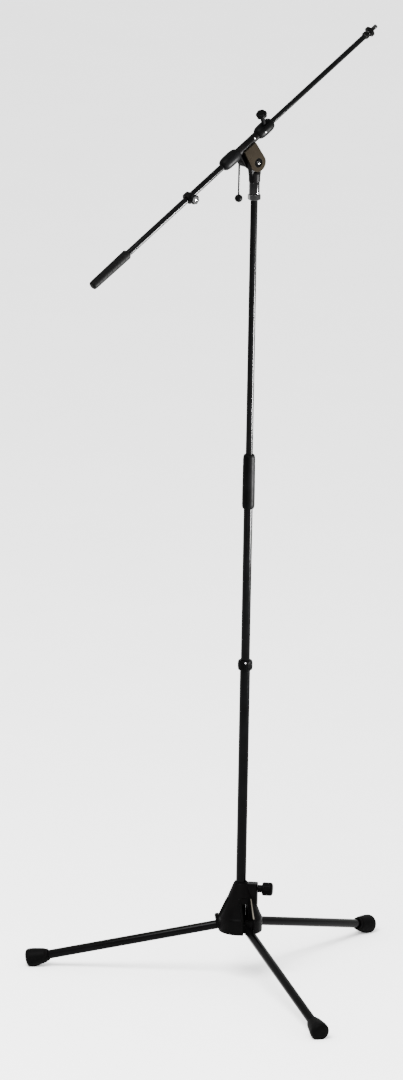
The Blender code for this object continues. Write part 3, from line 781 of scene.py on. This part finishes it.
def cheek(node, inner, outer, material):
    """U-shaped strap with a rounded rim, bored for the bolt; the near one is let in."""
    outline = [(42.9, -17.5), (42.9, 17.5)] + arc((0.0, 0.0), 19.9, 80.0, 280.0, 40)
    bm = bmesh.new()
    slab(outline, inner, outer)(bm)
    bm.verts.layers.float.new("edge")
    piece = finish_piece(node + "_strap", bm, material, ALONG_BOLT, "holder",
                         [node])
    cut(piece, plain_solid(bar(4.3, inner - 2.0, outer + 2.0), ALONG_BOLT))
    cut(piece, plain_solid(bar(9.6, -30.0, 30.0, 64), ALONG_BOOM))
    if inner < 0.0:
        cut(piece, plain_solid(bar(10.5, inner - 2.0, inner + 2.4, 64), ALONG_BOLT))
    rim = piece.modifiers.new("rim", "BEVEL")
    rim.width = 0.7 * MM
    rim.segments = 3
    rim.limit_method = "ANGLE"
    rim.angle_limit = math.radians(50.0)
    rim.use_clamp_overlap = True
    apply_modifiers(piece)
    piece.data.shade_smooth()
    piece.data.set_sharp_from_angle(angle=math.radians(38.0))
    mark_edges(piece, 20.0, reach=0)
    return piece


def clamp():
    head = -13.6 + 2.4 - 0.3
    bolt = [(0.0, head - 3.4), (3.0, head - 3.2), (4.6, head - 2.0), (5.0, head - 0.8),
            (5.0, head), (4.0, head), (4.0, 39.0), (0.0, 39.0)]
    turned("pivot_bolt_plated", bolt, CHROME, ALONG_BOLT, "holder", ["pivot_bolt"],
           corner=0.6)
    # Dark disc at the floor of the near cheek's counterbore, round the bolt head: painted shade in
    # the recess.
    shade_disc = tube_outline(10.2, 5.2, head - 0.15, head + 0.15)
    turned("bolt_recess_shade_disc", shade_disc, RECESS_SHADE, ALONG_BOLT, "holder", corner=0.05)
    start = 13.9
    hub = [(0.0, 42.0), (4.3, 42.0), (4.3, start), (13.0, start), (15.0, start + 2.0),
           (15.0, 20.0), (17.2, 23.0), (17.2, 41.5), (15.2, 44.0), (9.5, 44.0),
           (9.0, 58.0), (7.5, 60.0), (0.0, 60.0)]
    piece = turned("clamp_hub_moulding", hub, CAST, ALONG_BOLT, "clamp", ["clamp_hub"],
                   sides=144, corner=0.9, ripple=flutes(12, 0.9, 16.0, 23.0, 42.0),
                   ring_length=1.5)
    tbar = PIVOT + FAR * TBAR_OFFSET
    upright = pose(tbar, (0, 0, 1), (1, 0, 0))
    cut(piece, plain_solid(bar(2.6, -30.0, 30.0, 32), upright))
    turned("tbar_rod_plated", rod_outline(2.25, -TBAR_DROP, 14.2), DARK_STEEL, upright, "tbar",
           ["tbar_rod"], sides=32, corner=0.3)
    cap = [(2.55, 9.8), (4.0, 9.8), (4.4, 10.4), (4.4, 14.0), (3.6, 14.8), (2.55, 14.8)]
    turned("tbar_head_pressed", cap, DARK_STEEL, upright, "tbar", ["tbar_head"], sides=48,
           corner=0.3)
    ball = [(0.0, 0.4), (2.55, 0.4)] + arc((0.0, 0.0), 8.8, -73.0, 90.0, 28)[:-1] + [(0.0, 8.8)]
    place = pose(tbar - Vector((0, 0, TBAR_DROP)), (0, 0, -1), (1, 0, 0))
    turned("tbar_ball_moulded", ball, BALL, place, "tbar", ["tbar_ball"], corner=0.1)


# ---------------------------------------------------------------------------- boom

def holder():
    sleeve = tube_outline(9.3, 7.5, -26.2, 33.7)
    turned("holder_sleeve_cast", sleeve, CAST, ALONG_BOOM, "holder", ["holder_sleeve"],
           sides=96, corner=0.4)
    for node, start, end in (("rear_collar", -76.0, -26.5), ("front_collar", 34.0, 81.0)):
        collar = [(7.5, start), (9.0, start), (11.2, start + 1.6), (12.9, start + 4.2),
                  (14.2, start + 8.5), (14.9, start + 15.0), (15.0, start + 20.0),
                  (15.0, end - 20.0), (14.9, end - 15.0), (14.2, end - 8.5),
                  (12.9, end - 4.2), (11.2, end - 1.6), (9.0, end), (7.5, end)]
        piece = turned(node + "_moulding", collar, PLASTIC, ALONG_BOOM, "holder", [node],
                       sides=96, corner=1.5, ring_length=2.5)
        if node == "front_collar":
            cut(piece, plain_solid(bar(3.3, 4.0, 24.0, 32), HOLDER_KNOB))
            piece.data.shade_smooth()
            piece.data.set_sharp_from_angle(angle=math.radians(38.0))
    knob = [(0.0, 45.0), (3.3, 45.0), (3.3, 15.6), (5.0, 15.6), (5.0, 33.5), (6.2, 35.6),
            (9.0, 37.4), (11.6, 39.2), (12.5, 41.6), (12.6, 44.4), (12.0, 47.0),
            (10.2, 48.9), (7.4, 49.8), (0.0, 50.0)]
    turned("holder_knob_moulding", knob, PLASTIC, HOLDER_KNOB, "boom_lock", ["holder_knob"],
           sides=144, corner=0.9, ripple=lobes(7, 1.3, 9.5), ring_length=1.5)
    lean = math.radians(18.7)
    small_screw("sleeve_screw", BOOM_ORIGIN + BOOM_DIR * 21.9,
                NEAR * math.cos(lean) + BOOM_UP * math.sin(lean), 9.3, 1.8, "holder")
    small_screw("collar_screw", BOOM_ORIGIN + BOOM_DIR * 49.5, NEAR, 15.0, 2.2, "holder")
    screw = rod_outline(3.0, 7.5, 44.7)
    turned("holder_screw_thread", screw, STEEL, HOLDER_KNOB, "boom_lock",
           ["holder_knob_screw"], sides=32, corner=0.3, ripple=thread(1.0, 0.5, 9.0, 44.0),
           ring_length=0.17)


def boom():
    low_tube = rod_span("boom_tube")
    turned("boom_tube_coated", tube_outline(7.2, 6.35, *low_tube), COAT, ALONG_BOOM, "boom",
           ["boom_tube"], corner=0.4)
    start = GRIP_START
    end = GRIP_END
    grip = [(0.0, start), (7.0, start), (8.9, start + 1.2), (9.8, start + 4.0),
            (10.1, start + 8.0), (10.6, start + 55.0), (11.1, end - 8.0), (11.2, end - 4.0),
            (10.4, end - 1.2), (9.2, end), (7.5, end), (7.5, start + 11.7),
            (0.0, start + 11.7)]
    turned("boom_grip_rubber", grip, RUBBER_GRIP, ALONG_BOOM, "boom", ["boom_grip"], sides=96,
           corner=1.2, ripple=grip_rings(start, end), ring_length=0.9)

    ring = [(7.5, -190.0), (11.8, -190.0), (13.2, -188.0), (13.2, -178.0), (11.8, -176.0),
            (7.5, -176.0)]
    piece = turned("stop_ring_cast", ring, CAST, ALONG_BOOM, "stop", ["stop_ring"],
                   sides=96, corner=0.8)
    cut(piece, plain_solid(bar(2.8, 5.0, 20.0, 32), STOP_KNOB))
    piece.data.shade_smooth()
    piece.data.set_sharp_from_angle(angle=math.radians(38.0))
    knob = [(2.8, 14.0), (4.8, 14.0), (5.4, 16.4), (8.0, 17.0), (10.2, 17.8), (11.0, 19.2),
            (11.0, 23.2), (10.0, 24.6), (8.0, 25.0), (4.0, 25.0), (3.8, 24.6), (2.8, 24.6)]
    turned("stop_knob_moulding", knob, PLASTIC, STOP_KNOB, "stop_lock", ["stop_knob"],
           sides=144, corner=0.7, ripple=lobes(7, 1.2, 8.4), ring_length=1.5)

    rod = rod_span("boom_rod")
    turned("boom_rod_coated", tube_outline(6.0, 5.0, *rod), COAT, ALONG_BOOM, "rod",
           ["boom_rod"], corner=0.4)
    boss = BOOM_BOSS
    tip = [(0.0, 360.0), (4.7, 360.0), (4.7, boss), (7.0, boss), (8.0, boss + 1.2),
           (8.0, boss + 8.0), (7.0, boss + 9.5), (THREAD_RADIUS, boss + 9.5),
           (THREAD_RADIUS, BOOM_END - 1.0), (THREAD_RADIUS - 0.8, BOOM_END), (0.0, BOOM_END)]
    turned("tip_stud_thread", tip, CHROME, ALONG_BOOM, "rod", ["tip_stud"], sides=64,
           corner=0.3, ripple=thread(THREAD_PITCH, 0.75, boss + 10.5, BOOM_END - 0.8),
           ring_length=0.25)
    sleeve = tube_outline(8.4, 8.05, boss + 1.0, boss + 8.0)
    turned("tip_boss_sleeve", sleeve, CAST, ALONG_BOOM, "rod", corner=0.1)
    nut = [(5.05, 394.0), (10.6, 394.0), (12.0, 395.6), (12.0, 400.4), (10.6, 402.0),
           (5.05, 402.0)]
    turned("ring_nut_knurled", nut, CAST, ALONG_BOOM, "tip_nut", ["ring_nut"], sides=180,
           corner=0.5, ripple=flutes(36, 0.4, 11.0, 394.5, 401.5), ring_length=1.0)


def rod_span(node):
    """First and last distance along the boom that a node's box reaches."""
    low, high = low_high(node)
    lean = BOOM_DIR.z
    radius = {"boom_tube": 7.2, "boom_rod": 6.0}[node]
    rise = radius * math.sqrt(1.0 - lean * lean)
    return (low.z + rise - BOOM_ORIGIN.z) / lean, (high.z - rise - BOOM_ORIGIN.z) / lean


def grip_rings(start, end):
    """Shallow rings moulded round the hand grip, with smooth bands at the ends."""
    def ripple(angle, radius, height):
        if radius < 9.8 or not start + 14.0 < height < end - 14.0:
            return radius
        phase = (height - start) / 5.0 % 1.0
        return radius - 0.35 * max(0.0, math.cos(math.tau * phase)) ** 6
    return ripple


def recolour(node, material):
    """Give a CAD node that stays in sight the finish that its neighbours have."""
    frame["nodes"][node].material_slots[0].material = material


def carried_nodes():
    for node in ("lock_plug", "mid_collet", "middle_guide", "clutch_collet", "top_guide"):
        recolour(node, PLASTIC)
    for node in ("base_knob_screw", "top_stud", "stop_screw", "leg_1_pin", "leg_2_pin",
                 "leg_3_pin"):
        recolour(node, STEEL)
    for node in ("leg_1_fitting", "leg_2_fitting", "leg_3_fitting"):
        recolour(node, CAST)


# ----------------------------------------------------------------- stage and light

def stage():
    mesh = bpy.data.meshes.new("floor")
    half = 40.0
    mesh.from_pydata([(-half, -half, 0), (half, -half, 0), (half, half, 0), (-half, half, 0)],
                     [], [(0, 1, 2, 3)])
    floor = bpy.data.objects.new("floor", mesh)
    bpy.context.collection.objects.link(floor)
    nodes = Nodes("floor_paper")
    tone = nodes.remap(nodes.noise(3.0, 2.0), 0.3, 0.7)
    nodes.link(nodes.mix_colour(tone, (0.90, 0.90, 0.90), (0.92, 0.92, 0.92)),
               nodes.shader.inputs["Base Color"])
    nodes.constants(Roughness=0.9, Specular_IOR_Level=0.1)
    mesh.materials.append(nodes.material)
    world = bpy.data.worlds.new("studio")
    world.use_nodes = True
    background = world.node_tree.nodes["Background"]
    background.inputs["Color"].default_value = (1.0, 1.0, 1.0, 1.0)
    background.inputs["Strength"].default_value = 2.6
    bpy.context.scene.world = world


def area_light(name, location, target, size, power, spread):
    light = bpy.data.lights.new(name, "AREA")
    light.shape = "RECTANGLE"
    light.size, light.size_y = size
    light.energy = power
    light.spread = math.radians(spread)
    lamp = bpy.data.objects.new(name, light)
    bpy.context.collection.objects.link(lamp)
    lamp.location = location
    aim = Vector(target) - Vector(location)
    lamp.rotation_euler = aim.to_track_quat("-Z", "Y").to_euler()
    lamp.visible_camera = False
    return lamp


def lights():
    axis = COLUMN * MM
    area_light("key", (axis.x - 1.5, axis.y - 3.0, 5.5), (axis.x, axis.y, 0.8), (3.0, 3.0),
               1300.0, 180.0)
    area_light("right_strip", (axis.x + 1.8, axis.y - 0.42, 0.985),
               (axis.x, axis.y, 1.475), (0.14, 0.6), 150.0, 60.0)


def camera():
    """Long lens from the front, a little above, rolled about a degree."""
    data = bpy.data.cameras.new("camera")
    data.sensor_width = 36.0
    data.lens = CAMERA_LENS
    data.clip_end = 200.0
    lens = bpy.data.objects.new("camera", data)
    bpy.context.collection.objects.link(lens)
    pitch = math.radians(CAMERA_PITCH)
    roll = math.radians(CAMERA_ROLL)
    right = Vector((1.0, 0.0, 0.0))
    forward = Vector((0.0, math.cos(pitch), -math.sin(pitch)))
    up = right.cross(forward)
    tilted_right = right * math.cos(roll) + up * math.sin(roll)
    tilted_up = up * math.cos(roll) - right * math.sin(roll)
    place = Matrix((tilted_right, tilted_up, -forward)).transposed().to_4x4()
    place.translation = COLUMN * MM + Vector(CAMERA_OFFSET)
    lens.matrix_world = place
    bpy.context.scene.camera = lens


base_housing()
base_fittings()
legs()
column()
swivel()
cheek("near_cheek", -13.6, -8.3, TAUPE)
cheek("far_cheek", 8.3, 13.6, CAST)
clamp()
holder()
boom()
carried_nodes()
stage()
lights()
camera()
